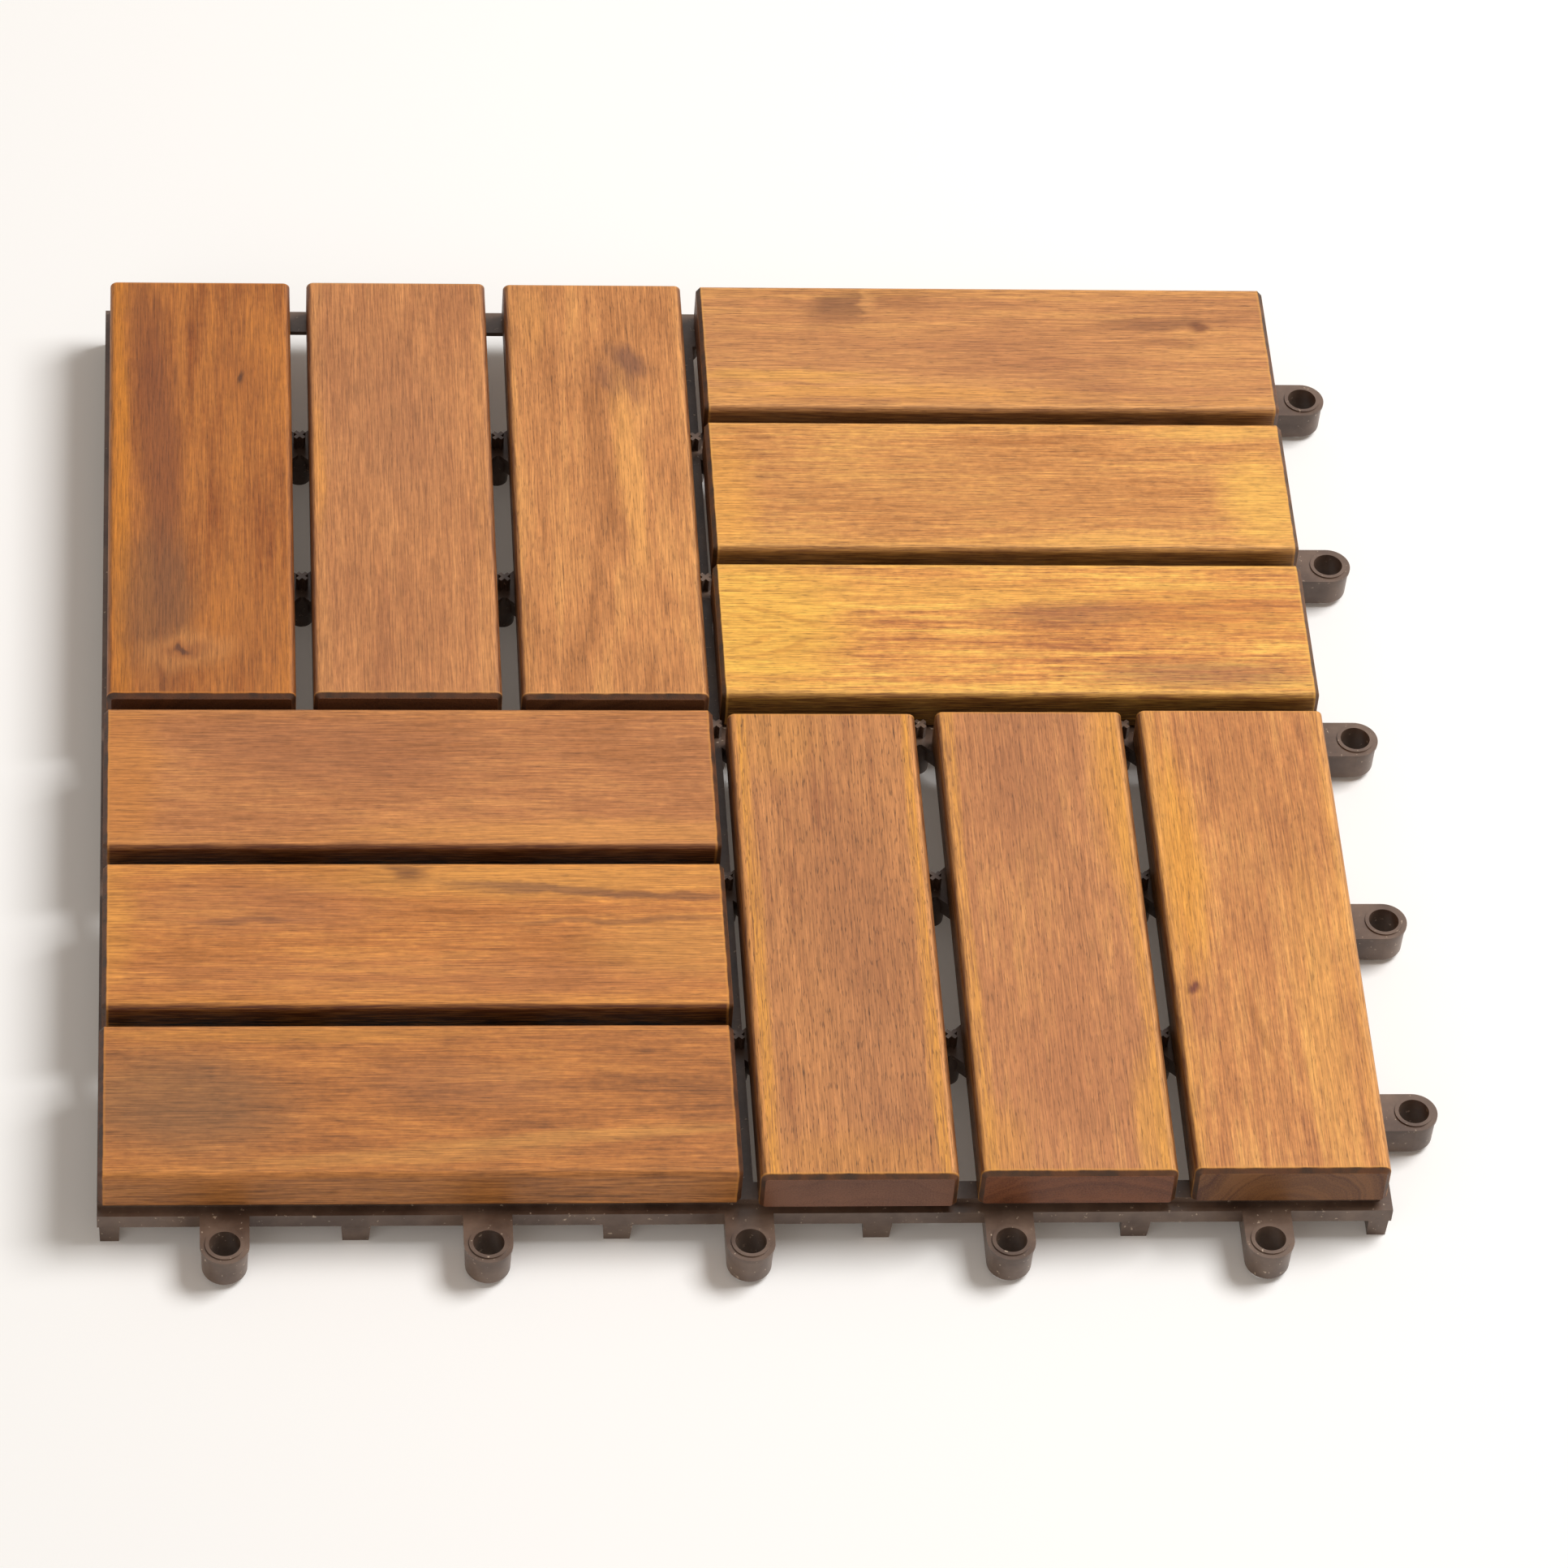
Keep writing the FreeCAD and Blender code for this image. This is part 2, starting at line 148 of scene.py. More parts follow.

# Each slat: its three wood colours and those of its edge highlights and its ends, which are darker partly as
# oiled end grain and partly as painted shade, how strong each pattern is, where its pith runs (across, height
# from the face), how dark the painted shade on its back or left and its front or right side is, and the marks
# that it alone has. A mark is at (along the grain, across it) from the middle, with its half sizes in the
# same order.
slats = {
    "slat_back_left_1": {
        "slot": "acacia_red", "seed": 3,
        "dark": "#7f3f12", "body": "#ac682e", "light": "#c57a33", "rim": "#ca7d2e",
        "clouds": 0.45, "rings": 0.2, "fibres": 0.42, "pores": 0.35, "ripple": 0.15, "edges": 0.1,
        "end": "#6b3f22", "endDark": "#4a2816", "endRings": 0.9,
        "pith": (-30, -34), "sides": (0.35, 0.85), "lean": 0.05,
        "marks": [
            {"at": (20, 21), "half": (110, 3.2), "turn": 1, "colour": "#c47923", "strength": 0.8},
            {"at": (26, 12), "half": (56, 5), "turn": 4, "colour": "#783f1e", "strength": 0.7},
            {"at": (-8, 9), "half": (60, 5), "turn": 1, "colour": "#874d28", "strength": 0.6},
            {"at": (-42, 11), "half": (26, 10), "turn": 0, "colour": "#764d2f", "strength": 0.65},
            {"at": (-56, -12), "half": (24, 8), "turn": 0, "colour": "#a6652e", "strength": 0.4},
            {"at": (38, -10), "half": (12, 6), "turn": 10, "colour": "#8f5023", "strength": 0.45},
            {"at": (38, -10), "half": (2.4, 0.8), "turn": 0, "colour": "#492612", "strength": 0.85},
            {"at": (-58, 3), "half": (6, 11), "turn": 10, "colour": "#c18046", "strength": 0.75},
            {"at": (-58, 4), "half": (3, 6.5), "turn": 10, "colour": "#91542a", "strength": 0.7},
            {"at": (-58, 5), "half": (1.3, 2.0), "turn": 0, "colour": "#5a331e", "strength": 0.85},
        ],
        "knots": [{"at": (-57, 4), "half": (16, 9)}],
    },
    "slat_back_left_2": {
        "slot": "acacia_red", "seed": 11,
        "dark": "#a76b41", "body": "#b97a4a", "light": "#cc8a54", "rim": "#cf9352",
        "clouds": 0.65, "rings": 0.22, "fibres": 0.6, "pores": 0.3, "ripple": 0.2, "edges": 0.2,
        "end": "#7a4c2e", "endDark": "#4a2816", "endRings": 0.9,
        "pith": (8, -70), "sides": (0.85, 0.85), "lean": 0.02,
        "marks": [
            {"at": (5, 21), "half": (22, 2), "turn": 0, "colour": "#dd9348", "strength": 0.8},
            {"at": (20, 2), "half": (30, 14), "turn": 6, "colour": "#a36b46", "strength": 0.4},
        ],
        "knots": [],
    },
    "slat_back_left_3": {
        "slot": "acacia_brown", "seed": 23,
        "dark": "#a56939", "body": "#c5834c", "light": "#da9857", "rim": "#d89956",
        "clouds": 0.5, "rings": 0.4, "fibres": 0.5, "pores": 0.6, "ripple": 0.15, "edges": 0.2,
        "end": "#7c5030", "endDark": "#4a2816", "endRings": 0.9,
        "pith": (-16, -46), "sides": (0.85, 0.85), "lean": 0.04,
        "marks": [
            {"at": (44, -8), "half": (7, 4), "turn": 30, "colour": "#794e38", "strength": 0.8},
            {"at": (36, -5), "half": (8, 4), "turn": 40, "colour": "#85553a", "strength": 0.6},
            {"at": (3, -7), "half": (34, 3), "turn": 3, "colour": "#e8a459", "strength": 0.7},
            {"at": (60, 16), "half": (14, 4), "turn": 0, "colour": "#d4924f", "strength": 0.5},
        ],
        "knots": [{"at": (40, -7), "half": (20, 9)}],
    },
    # The back-right slats are lighter partly in their own colour and partly with painted sheen toward the
    # back right.
    "slat_back_right_1": {
        "slot": "acacia_brown", "seed": 31,
        "dark": "#a56b42", "body": "#c2844f", "light": "#db9c5a", "rim": "#d99d52",
        "clouds": 0.6, "rings": 0.2, "fibres": 0.45, "pores": 0.5, "ripple": 0.15, "edges": 0.35,
        "end": "#86552f", "endDark": "#4a2816", "endRings": 0.9,
        "pith": (20, -40), "sides": (0.35, 0.6), "lean": 0.02,
        "marks": [
            {"at": (-36, 15), "half": (10, 6), "turn": 30, "colour": "#825434", "strength": 0.7},
            {"at": (-29, 18), "half": (2.2, 5), "turn": 0, "colour": "#db9b5c", "strength": 0.8},
            {"at": (-22, 18), "half": (7, 4), "turn": 0, "colour": "#996339", "strength": 0.6},
            {"at": (45, 9), "half": (16, 2.4), "turn": 3, "colour": "#875534", "strength": 0.65},
            {"at": (55, 8), "half": (2.6, 2), "turn": 0, "colour": "#734124", "strength": 0.85},
            {"at": (46, 2), "half": (9, 1.6), "turn": 0, "colour": "#9a6239", "strength": 0.6},
            {"at": (-56, -11), "half": (26, 2), "turn": 0, "colour": "#e7a853", "strength": 0.6},
            {"at": (-30, -17), "half": (50, 2.5), "turn": 0, "colour": "#e3a14e", "strength": 0.5},
            {"at": (10, 0), "half": (60, 8), "turn": 0, "colour": "#b5774a", "strength": 0.35},
        ],
        "knots": [{"at": (-31, 20), "half": (18, 10)}, {"at": (57, 10), "half": (10, 6)}],
    },
    "slat_back_right_2": {
        "slot": "acacia_golden", "seed": 43,
        "dark": "#b3733a", "body": "#cd8c4d", "light": "#e2a557", "rim": "#e0a352",
        "clouds": 0.6, "rings": 0.22, "fibres": 0.7, "pores": 0.45, "ripple": 0.35, "edges": 0.4,
        "end": "#8c5c33", "endDark": "#4a2816", "endRings": 0.9,
        "pith": (0, -80), "sides": (0.8, 0.6), "lean": 0.03,
        "marks": [
            {"at": (66, -6), "half": (10, 16), "turn": 0, "colour": "#f2bb56", "strength": 0.6},
            {"at": (58, 19), "half": (16, 3), "turn": 0, "colour": "#eab258", "strength": 0.6},
            {"at": (-70, -6), "half": (8, 22), "turn": 0, "colour": "#e8a54a", "strength": 0.6},
            {"at": (-20, 0), "half": (50, 14), "turn": 0, "colour": "#c38449", "strength": 0.35},
            {"at": (20, -10), "half": (40, 5), "turn": 0, "colour": "#c18146", "strength": 0.35},
        ],
        "knots": [],
    },
    "slat_back_right_3": {
        "slot": "acacia_golden", "seed": 57,
        "dark": "#b06c39", "body": "#dc964c", "light": "#f3bc5b", "rim": "#ecb155",
        "clouds": 0.4, "rings": 0.28, "fibres": 0.95, "pores": 0.6, "ripple": 0.3, "edges": 0.3,
        "end": "#946234", "endDark": "#4a2816", "endRings": 0.9,
        "pith": (-4, -40), "sides": (0.8, 0.7), "lean": 0.05,
        "marks": [
            {"at": (-64, 2), "half": (22, 24), "turn": 0, "colour": "#f3bb4e", "strength": 0.65},
            {"at": (-20, 12), "half": (60, 5), "turn": 0, "colour": "#eeb252", "strength": 0.45},
            {"at": (46, -16), "half": (26, 5), "turn": 0, "colour": "#955f40", "strength": 0.65},
            {"at": (16, 5), "half": (22, 4), "turn": 2, "colour": "#9e663e", "strength": 0.6},
            {"at": (52, 6), "half": (24, 9), "turn": 0, "colour": "#c47c3a", "strength": 0.6},
            {"at": (-57, 4), "half": (11, 0.9), "turn": -22, "colour": "#b77830", "strength": 0.45},
            {"at": (-57, -7), "half": (11, 0.9), "turn": 22, "colour": "#b2732e", "strength": 0.45},
            {"at": (-64, 2), "half": (8, 0.7), "turn": -26, "colour": "#c08337", "strength": 0.4},
            {"at": (-64, -5), "half": (8, 0.7), "turn": 26, "colour": "#bb7c33", "strength": 0.4},
        ],
        "knots": [{"at": (-66, -4), "half": (16, 8)}],
    },
    "slat_front_left_1": {
        "slot": "acacia_red", "seed": 61,
        "dark": "#9e6233", "body": "#b47444", "light": "#cb894f", "rim": "#cf8c42",
        "clouds": 0.5, "rings": 0.3, "fibres": 0.4, "pores": 0.3, "ripple": 0.25, "edges": 0.2,
        "end": "#7a4a2a", "endDark": "#4a2816", "endRings": 0.9,
        "pith": (10, -60), "sides": (0.8, 0.97), "lean": -0.08,
        "marks": [
            {"at": (-69, 0), "half": (9, 30), "turn": 0, "colour": "#c6803e", "strength": 0.7},
            {"at": (-20, 8), "half": (34, 12), "turn": -6, "colour": "#9e633f", "strength": 0.45},
            {"at": (40, -18), "half": (50, 4), "turn": 0, "colour": "#da964f", "strength": 0.6},
        ],
        "knots": [],
    },
    "slat_front_left_2": {
        "slot": "acacia_red", "seed": 73,
        "dark": "#9b5c25", "body": "#bd773c", "light": "#e1984a", "rim": "#db9546",
        "clouds": 0.6, "rings": 0.25, "fibres": 0.5, "pores": 0.35, "ripple": 0.2, "edges": 0.3,
        "end": "#80502c", "endDark": "#4a2816", "endRings": 0.9,
        "pith": (24, -30), "sides": (0.8, 0.97), "lean": -0.05,
        "marks": [
            {"at": (24, 17), "half": (50, 6), "turn": 0, "colour": "#da994a", "strength": 0.6},
            {"at": (-40, 8), "half": (30, 9), "turn": 0, "colour": "#a86a42", "strength": 0.5},
            {"at": (0, -14), "half": (66, 7), "turn": 0, "colour": "#b27244", "strength": 0.45},
            {"at": (62, -4), "half": (22, 9), "turn": 0, "colour": "#d4954c", "strength": 0.5},
            {"at": (-72, 4), "half": (6, 18), "turn": 0, "colour": "#d79543", "strength": 0.5},
            {"at": (30, 14), "half": (24, 1.6), "turn": -4, "colour": "#835635", "strength": 0.75},
            {"at": (60, 12), "half": (22, 1.2), "turn": -2, "colour": "#855431", "strength": 0.75},
            {"at": (50, 4), "half": (30, 0.9), "turn": 1, "colour": "#8d5a33", "strength": 0.65},
            {"at": (-40, 4), "half": (16, 0.9), "turn": 2, "colour": "#855538", "strength": 0.5},
            {"at": (-2, 22), "half": (11, 4), "turn": 0, "colour": "#d18d45", "strength": 0.7},
            {"at": (-2, 22), "half": (5, 6), "turn": 20, "colour": "#663b20", "strength": 0.9},
        ],
        "knots": [{"at": (0, 22), "half": (24, 12)}],
    },
    "slat_front_left_3": {
        "slot": "acacia_brown", "seed": 89,
        "dark": "#88532a", "body": "#b06e38", "light": "#cc8644", "rim": "#c4813a",
        "clouds": 0.45, "rings": 0.22, "fibres": 0.55, "pores": 0.3, "ripple": 0.25, "edges": 0.1,
        "end": "#70452a", "endDark": "#4a2816", "endRings": 0.9,
        "pith": (-22, -44), "sides": (0.8, 0.2), "lean": 0.1,
        "marks": [
            {"at": (-56, -1), "half": (26, 15), "turn": -6, "colour": "#7d5b3d", "strength": 0.6},
            {"at": (-30, 19), "half": (40, 2.5), "turn": 0, "colour": "#c4833c", "strength": 0.6},
            {"at": (34, -12), "half": (44, 2.2), "turn": 5, "colour": "#cb8f4b", "strength": 0.6},
            {"at": (-8, -18), "half": (40, 2.2), "turn": 3, "colour": "#c38848", "strength": 0.5},
            {"at": (10, 4), "half": (22, 7), "turn": -5, "colour": "#9b6541", "strength": 0.35},
        ],
        "knots": [],
    },
    "slat_front_right_1": {
        "slot": "acacia_brown", "seed": 97,
        "dark": "#9c613a", "body": "#ba7c4a", "light": "#ce8b53", "rim": "#d6933f",
        "clouds": 0.5, "rings": 0.2, "fibres": 0.6, "pores": 0.9, "ripple": 0.1, "edges": 1.0,
        "end": "#7d5139", "endDark": "#54301f", "endRings": 0.5,
        "pith": (2, -80), "sides": (0.85, 0.85), "lean": 0.01,
        "marks": [
            {"at": (8, -4), "half": (34, 12), "turn": 3, "colour": "#99603c", "strength": 0.5},
            {"at": (66, 12), "half": (14, 12), "turn": 0, "colour": "#d09044", "strength": 0.35},
            {"at": (-68, 0), "half": (8, 26), "turn": 0, "colour": "#cc8b43", "strength": 0.35},
            {"at": (-42, -6), "half": (22, 10), "turn": 0, "colour": "#a26944", "strength": 0.4},
        ],
        "knots": [],
    },
    "slat_front_right_2": {
        "slot": "acacia_brown", "seed": 101,
        "dark": "#a4693f", "body": "#bc7c4c", "light": "#d29254", "rim": "#d69540",
        "clouds": 0.4, "rings": 0.3, "fibres": 0.5, "pores": 0.6, "ripple": 0.15, "edges": 0.7,
        "end": "#7b482b", "endDark": "#4a2514", "endRings": 0.9,
        "pith": (-6, -64), "sides": (0.85, 0.85), "lean": 0.03,
        "marks": [
            {"at": (50, 4), "half": (34, 8), "turn": 4, "colour": "#9b623e", "strength": 0.45},
            {"at": (48, -19), "half": (32, 5), "turn": 0, "colour": "#da9640", "strength": 0.65},
            {"at": (-60, -19), "half": (22, 5), "turn": 0, "colour": "#d69545", "strength": 0.7},
            {"at": (-64, 18), "half": (12, 6), "turn": 0, "colour": "#d18f45", "strength": 0.6},
            {"at": (-34, 2), "half": (26, 14), "turn": 0, "colour": "#af6e44", "strength": 0.4},
        ],
        "knots": [],
    },
    "slat_front_right_3": {
        "slot": "acacia_golden", "seed": 113,
        "dark": "#a8693b", "body": "#c6834a", "light": "#e2a159", "rim": "#d39446",
        "clouds": 0.5, "rings": 0.45, "fibres": 0.55, "pores": 0.5, "ripple": 0.2, "edges": 0.5,
        "end": "#80542f", "endDark": "#502c19", "endRings": 1.8,
        "pith": (-1, -15), "sides": (0.85, 0.35), "lean": 0.05,
        "marks": [
            {"at": (-20, 17), "half": (12, 5), "turn": 0, "colour": "#a76740", "strength": 0.6},
            {"at": (22, 17), "half": (36, 5), "turn": 0, "colour": "#e09a34", "strength": 0.65},
            {"at": (-30, -12), "half": (56, 6), "turn": 0, "colour": "#e2a34f", "strength": 0.4},
            {"at": (30, 0), "half": (40, 7), "turn": 0, "colour": "#b37442", "strength": 0.4},
            {"at": (-31, 3), "half": (12, 1.4), "turn": 14, "colour": "#a76934", "strength": 0.6},
            {"at": (-17, 18), "half": (2.2, 1.5), "turn": 0, "colour": "#67301f", "strength": 0.95},
        ],
        "knots": [{"at": (-17, 18), "half": (10, 6)}],
    },
}


def oiledAcaciaSlat(name, slat):
    # Hard plantation wood, sawn flat, sanded and oiled: soft ring bands and clouds of tone along the grain,
    # fine fibre, dark pore dashes and a satin skin, with painted highlights on the long edges and painted
    # shade on the sides; the ends and their chamfers go dark, partly as oiled end grain and partly as painted
    # shade.
    wood = oiledAcacia
    material, tree, shader = newMaterial("oiled acacia " + name.replace("_", " "))
    add = partial(addNode, tree)
    smooth = {"interpolation_type": "SMOOTHSTEP"}
    low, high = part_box(name)
    middle = (low + high) / 2
    span = high - low
    turned = span.y > span.x
    halfLength = max(span.x, span.y) / 2 / mm
    halfWidth = min(span.x, span.y) / 2 / mm

    # the slat's own frame in mm: x along the grain, y across the face, z up from the face
    own = add("Mapping", add("TexCoord", give="Object"), (middle.x, middle.y, high.z),
              (0, 0, math.pi / 2 if turned else 0), (mm, mm, mm), vector_type="TEXTURE")
    along, across, height = add("SeparateXYZ", own).node.outputs
    fromMiddle = add("Math", across, operation="ABSOLUTE")
    fromCentre = add("Math", along, operation="ABSOLUTE")
    seedPlace = [slat["seed"] * step for step in wood["seedStep"]]
    shifted = add("VectorMath", own, seedPlace, operation="ADD")

    def grainPattern(size, detail=3.0, roughness=0.55, give="Fac"):
        # a noise whose features are size[0] mm along the grain and size[1] mm across it
        stretched = add("VectorMath", shifted, (1 / size[0], 1 / size[1], 1 / size[1]), operation="MULTIPLY")
        return add("TexNoise", stretched, 1.0, detail, roughness, give=give)

    def ovalAt(place, at, half, turn=0.0):
        # 1 at the middle of an oval on the face, 0 at its rim
        oval = add("Mapping", place, (at[0], at[1], 0), (0, 0, math.radians(turn)),
                   (half[0], half[1], wood["markDepth"]), vector_type="TEXTURE")
        return add("TexGradient", oval, gradient_type="SPHERICAL", give="Fac")

    # slow wander of the grain, which opens round a knot: its lines keep off the knot's middle
    wander = add("VectorMath", grainPattern(wood["wanderSize"], 2.0, give="Color"), (0.5, 0.5, 0.5),
                 operation="SUBTRACT")
    grain = add("VectorMath", wander, wood["wander"], own, operation="MULTIPLY_ADD")
    for knot in slat["knots"]:
        near = ovalAt(own, knot["at"], knot["half"])
        sideways = add("VectorMath", grain, (0, 1, 0), (0, -knot["at"][1], 0), operation="MULTIPLY_ADD")
        grain = add("VectorMath", grain, add("VectorMath", sideways, near, operation="SCALE"),
                    operation="SUBTRACT")

    # growth rings: distance from a pith line that leans along the slat
    pith = slat["pith"]
    fromPith = add("VectorMath", grain, (0, 1, 1), (0, -pith[0], -pith[1]), operation="MULTIPLY_ADD")
    radius = add("VectorMath", fromPith, operation="LENGTH")
    leaning = add("Math", add("SeparateXYZ", grain), slat["lean"], radius, operation="MULTIPLY_ADD")
    rings = add("TexNoise", leaning, 1 / wood["ringSpacing"], 3.0, 0.6, noise_dimensions="1D", give="Fac")

    clouds = grainPattern(wood["cloudSize"])
    fibres = grainPattern(wood["fibreSize"], 4.0, 0.65)
    hairs = grainPattern(wood["hairSize"], 2.0)
    ripple = grainPattern(wood["rippleSize"])
    streaks = grainPattern(wood["streakSize"], 3.0, 0.6)
    pores = add("MapRange", grainPattern(wood["poreSize"], 1.0), *wood["poreRange"], **smooth)
    threads = add("MapRange", grainPattern(wood["threadSize"], 2.0), *wood["threadRange"], **smooth)

    # the broad tone: 0.5 is the body colour
    tone = 0.5
    for field, share in ((clouds, slat["clouds"]), (rings, slat["rings"]), (streaks, slat["fibres"]),
                         (fibres, wood["fibreTone"] * slat["fibres"]), (ripple, slat["ripple"])):
        centred = add("Math", field, 0.5, operation="SUBTRACT")
        tone = add("Math", centred, share * wood["contrast"], tone, operation="MULTIPLY_ADD")
    colour = add("ValToRGB", tone)
    stops = colour.node.color_ramp.elements
    stops[0].position, stops[0].color = wood["darkTone"], toLinear(slat["dark"])
    stops[1].position, stops[1].color = wood["lightTone"], toLinear(slat["light"])
    stops.new(0.5).color = toLinear(slat["body"])

    # marks of this slat alone: soft patches whose outline wanders with the grain
    ragged = add("VectorMath", grainPattern(wood["raggedSize"], give="Color"), (0.5, 0.5, 0.5),
                 operation="SUBTRACT")
    markPlace = add("VectorMath", ragged, wood["raggedReach"], own, operation="MULTIPLY_ADD")
    grained = add("Math", streaks, *wood["markGrain"], operation="MULTIPLY_ADD")
    for mark in slat["marks"]:
        half = [size * wood["markSpread"] for size in mark["half"]]
        near = ovalAt(markPlace, mark["at"], half, mark["turn"])
        amount = add("MapRange", add("Math", near, grained, operation="MULTIPLY"), *wood["markRange"], 0.0,
                     mark["strength"], **smooth)
        colour = add("Mix", amount, colour, toLinear(mark["colour"]), data_type="RGBA")

    # long edges: a painted highlight, a lighter golden strip that the fibres break up
    loose = add("Math", streaks, wood["rimWander"], -0.5 * wood["rimWander"], operation="MULTIPLY_ADD")
    uneven = add("Math", add("Math", loose, fromMiddle, operation="ADD"), halfWidth - wood["rimWidth"],
                 operation="SUBTRACT")
    rim = add("MapRange", uneven, *wood["rimBlend"], 0.0, slat["edges"], **smooth)
    broken = add("MapRange", add("Math", hairs, fibres, operation="ADD"), *wood["brokenRange"],
                 wood["brokenLeast"], 1.0)
    rim = add("Math", rim, broken, operation="MULTIPLY")
    colour = add("Mix", rim, colour, toLinear(slat["rim"]), data_type="RGBA")
    # a thin painted highlight along the crest, where the rounding starts
    fromCrest = add("Math", fromMiddle, halfWidth - wood["crestInset"], operation="SUBTRACT")
    crestHighlightMost = wood["crestHighlightShare"][0] * slat["edges"] + wood["crestHighlightShare"][1]
    crestHighlight = add("MapRange", fromCrest, *wood["crestHighlightBlend"], 0.0, crestHighlightMost, **smooth)
    crestHighlight = add("Math", crestHighlight, broken, operation="MULTIPLY")
    colour = add("Mix", crestHighlight, colour, toLinear(slat["light"]), data_type="RGBA")

    # the fine grain goes over everything: it darkens and lightens in proportion
    fine = 1.0
    for field, share in ((hairs, wood["hairShare"]), (fibres, wood["fibreShare"]), (ripple, slat["ripple"])):
        centred = add("Math", field, 0.5, operation="SUBTRACT")
        fine = add("Math", centred, share, fine, operation="MULTIPLY_ADD")
    fine = add("Math", pores, -wood["poreShare"] * slat["pores"], fine, operation="MULTIPLY_ADD")
    fine = add("Math", threads, -wood["threadShare"] * slat["pores"], fine, operation="MULTIPLY_ADD")
    colour = add("VectorMath", colour, fine, operation="SCALE")

    # sides: painted shade, darkest low down in the gaps between the slats
    backShade, frontShade = slat["sides"]
    deepestShade = add("MapRange", across, -1.0, 1.0, frontShade, backShade)
    side = add("MapRange", fromCrest, *wood["sideShadeBlend"], **smooth)
    side = add("Math", side, deepestShade, operation="MULTIPLY")
    sideShadeGrain = add("MapRange", hairs, *wood["sideShadeGrain"])
    side = add("Math", side, sideShadeGrain, operation="MULTIPLY", use_clamp=True)
    lowerShade = add("MapRange", height, *wood["lowShadeRange"])
    sideShadeColour = add("Mix", lowerShade, toLinear(wood["sideShadeColour"]), toLinear(wood["lowShadeColour"]),
                     data_type="RGBA")
    colour = add("Mix", side, colour, sideShadeColour, data_type="RGBA")

    # ends: a thin painted highlight on the crest, a dark band on the chamfer, and end grain on the face; band
    # and face are darker partly as oiled end grain and partly as painted shade
    chip = add("Math", grainPattern(wood["chipSize"], 2.0), 0.5, operation="SUBTRACT")
    frayed = add("Math", chip, wood["chipReach"], fromCentre, operation="MULTIPLY_ADD")
    fromBand = add("Math", frayed, halfLength - wood["endBand"], operation="SUBTRACT")
    endCrestHighlight = add("MapRange", fromBand, *wood["endCrestHighlightBlend"], 0.0, wood["endCrestHighlightMost"], **smooth)
    colour = add("Mix", endCrestHighlight, colour, toLinear(slat["rim"]), data_type="RGBA")
    # the chamfer band and end face: oiled end grain darkened further with painted shade
    soakedAndShade = add("MapRange", chip, *wood["soakedAndShadeRange"], **smooth)
    bandColour = add("Mix", soakedAndShade, toLinear(wood["bandColour"]), toLinear(wood["soakedAndShadeColour"]),
                     data_type="RGBA")
    band = add("MapRange", fromBand, *wood["bandBlend"], 0.0, wood["bandMost"], **smooth)
    colour = add("Mix", band, colour, bandColour, data_type="RGBA")
    endRings = add("Math", add("Math", rings, 0.5, operation="SUBTRACT"), slat["endRings"],
                   add("Math", clouds, hairs, operation="ADD"), operation="MULTIPLY_ADD")
    endTone = add("MapRange", endRings, *wood["endToneRange"])
    endGrain = add("Mix", endTone, toLinear(slat["endDark"]), toLinear(slat["end"]), data_type="RGBA")
    fromEnd = add("Math", fromCentre, halfLength, operation="SUBTRACT")
    endFace = add("MapRange", fromEnd, *wood["endFaceBlend"])
    colour = add("Mix", endFace, colour, endGrain, data_type="RGBA")
    tree.links.new(colour, shader.inputs["Base Color"])

    roughness = add("Math", pores, wood["poreRoughness"], wood["roughness"], operation="MULTIPLY_ADD")
    tree.links.new(roughness, shader.inputs["Roughness"])
    shader.inputs["IOR"].default_value = wood["ior"]
    shader.inputs["Specular IOR Level"].default_value = wood["gloss"]
    hollow = add("Math", pores, -1.0, operation="MULTIPLY")
    relief = add("Math", fibres, wood["fibreRelief"], hollow, operation="MULTIPLY_ADD")
    bump = add("Bump", wood["reliefStrength"], wood["reliefHeight"] * mm, None, relief)
    tree.links.new(bump, shader.inputs["Normal"])
    return material


for name, slat in slats.items():
    finishNode(name, oiledAcaciaSlat(name, slat))
print("slats oiled:", len(slats))

# Base grid: black-brown polypropylene, moulded with a fine spark grain. Sizes are in mm.
basePlastic = {
    "colour": "#503d32",
    "roughness": 0.36,
    "ior": 1.49,
    "dust": {"colour": "#7c6657", "size": 14.0, "detail": (4.0, 0.6), "range": (0.35, 0.7)},
    "speck": {"colour": "#bda893", "size": 1.6, "detail": (2.0, 0.7), "range": (0.66, 0.74)},
    "grain": {"size": 0.5, "detail": 2.0, "height": 0.02, "strength": 0.6},  # coarser than the real grain
}


def mouldedPolypropylene():
    # Moulded in one piece, satin: near black, paler where dust and handling have dulled it.
    plastic = basePlastic
    material, tree, shader = newMaterial("moulded polypropylene")
    add = partial(addNode, tree)
    place = add("TexCoord", give="Object")
    colour = toLinear(plastic["colour"])
    for layer in (plastic["dust"], plastic["speck"]):
        field = add("TexNoise", place, 1 / (layer["size"] * mm), *layer["detail"])
        amount = add("MapRange", field, *layer["range"])
        colour = add("Mix", amount, colour, toLinear(layer["colour"]), data_type="RGBA")
    tree.links.new(colour, shader.inputs["Base Color"])
    shader.inputs["Roughness"].default_value = plastic["roughness"]
    shader.inputs["IOR"].default_value = plastic["ior"]
    grain = plastic["grain"]
    field = add("TexNoise", place, 1 / (grain["size"] * mm), grain["detail"])
    tree.links.new(add("Bump", grain["strength"], grain["height"] * mm, None, field), shader.inputs["Normal"])
    return material


finishNode("base_grid", mouldedPolypropylene())

# Slat screws: zinc-plated steel, seen from below.
screwSteel = {"colour": "#b9b6ae", "roughness": 0.32}


